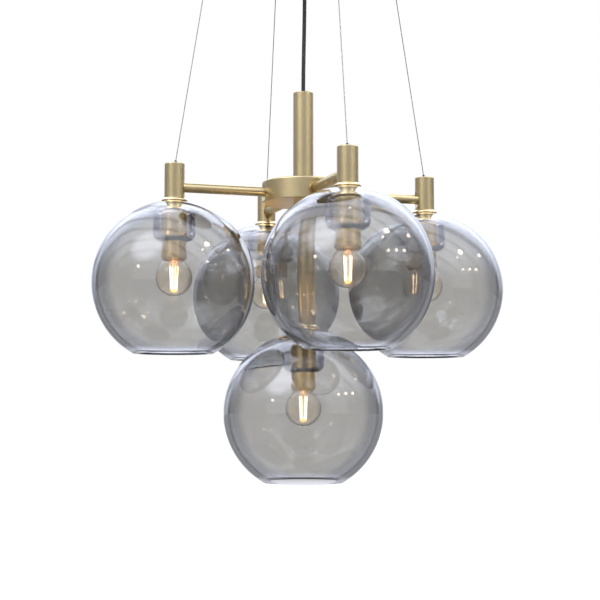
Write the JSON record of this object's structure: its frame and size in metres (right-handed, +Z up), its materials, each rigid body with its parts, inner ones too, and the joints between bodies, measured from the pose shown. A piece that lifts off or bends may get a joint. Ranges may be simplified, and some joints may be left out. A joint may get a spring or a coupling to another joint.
{
  "type": "cluster pendant",
  "caption": "Cluster pendant with smoked glass globes on a cross of brass arms and one below the hub, hung on wires from a round canopy, with clear filament bulbs.",
  "frame": {"origin": "centre of the screw circle on the ceiling bracket's top face, at the ceiling", "axes": "+Z up into the ceiling, arms along +X, +Y, -X and -Y; the picture is taken from below and between -Y and -X"},
  "size_m": [0.5332, 0.5332, 0.7334],
  "materials": {
    "brass": "brushed",
    "steel": "satin",
    "dark_steel": "satin",
    "nickel": "satin",
    "cord": "satin",
    "lead": "satin",
    "black_plastic": "matte",
    "white_plastic": "matte",
    "porcelain": "glazed",
    "smoked_glass": "polished",
    "clear_glass": "polished",
    "filament": "matte"
  },
  "bodies": {
    "fixture": {"ceiling_bracket": "steel", "ceiling_canopy": "brass", "canopy_screws": "steel", "terminal_blocks": "white_plastic", "cord_grip": "brass", "wire_clamps": "brass", "wire_bushings": "brass", "lock_nuts": "steel", "suspension_wire_left": "steel", "suspension_wire_front": "steel", "suspension_wire_right": "steel", "suspension_wire_back": "steel", "wire_ball_ends": "dark_steel", "power_cord": "cord", "stem_tube": "brass", "stem_bushing": "black_plastic", "hub_body": "brass", "hub_cover": "brass", "hub_rod": "steel", "arm_left": "brass", "arm_front": "brass", "arm_right": "brass", "arm_back": "brass", "lamp_tube_left": "brass", "lamp_tube_front": "brass", "lamp_tube_right": "brass", "lamp_tube_back": "brass", "lower_tube": "brass", "inner_leads": "lead", "lampholder_inserts": "porcelain", "lampholder_cup_left": "brass", "shade_ring_left": "brass", "glass_shade_left": "smoked_glass", "lampholder_cup_front": "brass", "shade_ring_front": "brass", "glass_shade_front": "smoked_glass", "lampholder_cup_right": "brass", "shade_ring_right": "brass", "glass_shade_right": "smoked_glass", "lampholder_cup_back": "brass", "shade_ring_back": "brass", "glass_shade_back": "smoked_glass", "lampholder_cup_lower": "brass", "shade_ring_lower": "brass", "glass_shade_lower": "smoked_glass"},
    "left_bulb": {"bulb_glass_left": "clear_glass", "bulb_base_left": "nickel", "bulb_filament_left": "filament"},
    "front_bulb": {"bulb_glass_front": "clear_glass", "bulb_base_front": "nickel", "bulb_filament_front": "filament"},
    "right_bulb": {"bulb_glass_right": "clear_glass", "bulb_base_right": "nickel", "bulb_filament_right": "filament"},
    "back_bulb": {"bulb_glass_back": "clear_glass", "bulb_base_back": "nickel", "bulb_filament_back": "filament"},
    "lower_bulb": {"bulb_glass_lower": "clear_glass", "bulb_base_lower": "nickel", "bulb_filament_lower": "filament"}
  },
  "joints": [
    {"name": "left_bulb_out", "type": "slide", "parent": "fixture", "child": "left_bulb", "axis": [0, 0, -1], "range_m": [0, 0.16]},
    {"name": "front_bulb_out", "type": "slide", "parent": "fixture", "child": "front_bulb", "axis": [0, 0, -1], "range_m": [0, 0.16]},
    {"name": "right_bulb_out", "type": "slide", "parent": "fixture", "child": "right_bulb", "axis": [0, 0, -1], "range_m": [0, 0.16]},
    {"name": "back_bulb_out", "type": "slide", "parent": "fixture", "child": "back_bulb", "axis": [0, 0, -1], "range_m": [0, 0.16]},
    {"name": "lower_bulb_out", "type": "slide", "parent": "fixture", "child": "lower_bulb", "axis": [0, 0, -1], "range_m": [0, 0.16]}
  ]
}
